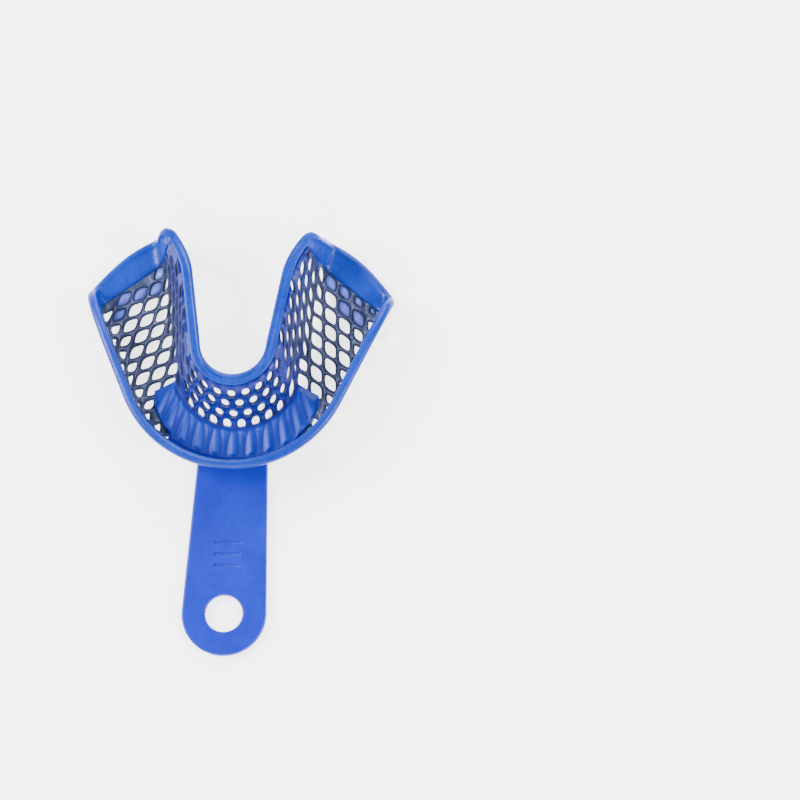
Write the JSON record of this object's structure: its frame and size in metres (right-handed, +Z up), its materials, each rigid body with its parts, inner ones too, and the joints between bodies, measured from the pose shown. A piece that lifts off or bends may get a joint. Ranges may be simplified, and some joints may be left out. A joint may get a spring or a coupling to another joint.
{
  "type": "impression tray",
  "caption": "Perforated lower dental impression tray: steel mesh horseshoe trough in a blue moulded border, with a ridged front pad and a flat handle.",
  "frame": {"origin": "on the table, under the middle of the tray's box", "axes": "+Z up out of the trough, -Y along the handle, +X to the right when seen from the handle"},
  "size_m": [0.0814, 0.111, 0.0168],
  "materials": {
    "plastic": "smooth moulded royal-blue plastic, slightly waxy",
    "mesh": "formed steel mesh with a thin dark blue-grey coating"
  },
  "bodies": {
    "root": {"front_pad": "plastic", "front_wall": "plastic", "rim_border": "plastic", "handle": "plastic", "outer_mesh_left": "mesh", "outer_mesh_right": "mesh", "floor_mesh_left": "mesh", "floor_mesh_right": "mesh", "inner_mesh_left": "mesh", "inner_mesh_right": "mesh", "inner_mesh_front": "mesh"}
  },
  "joints": []
}
